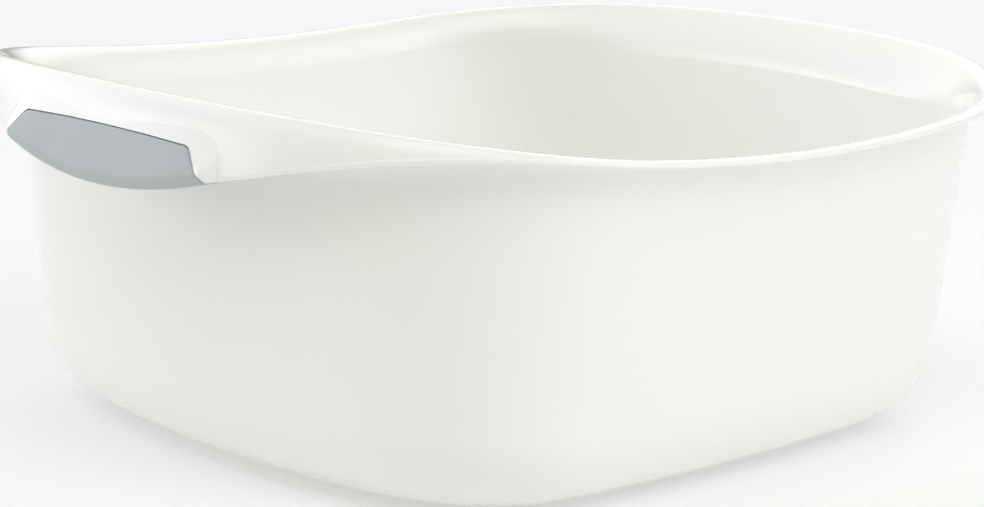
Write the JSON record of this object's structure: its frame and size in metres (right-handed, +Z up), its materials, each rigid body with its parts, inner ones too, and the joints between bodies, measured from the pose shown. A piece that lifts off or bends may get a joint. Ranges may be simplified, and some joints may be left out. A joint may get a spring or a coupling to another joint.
{
  "type": "washing up bowl",
  "caption": "Rectangular moulded washing up bowl whose rim sweeps up to a rolled handle at each end, with a soft grip on each handle.",
  "frame": {"origin": "centre of the bowl at the plane of its foot ring", "axes": "+X through the right handle, +Y across the bowl to its back side, +Z up"},
  "size_m": [0.3822, 0.3248, 0.1388],
  "materials": {
    "shell": "glossy warm white polypropylene",
    "grip": "soft satin blue-grey elastomer"
  },
  "bodies": {
    "root": {"bowl": "shell", "left_grip": "grip", "right_grip": "grip"}
  },
  "joints": []
}
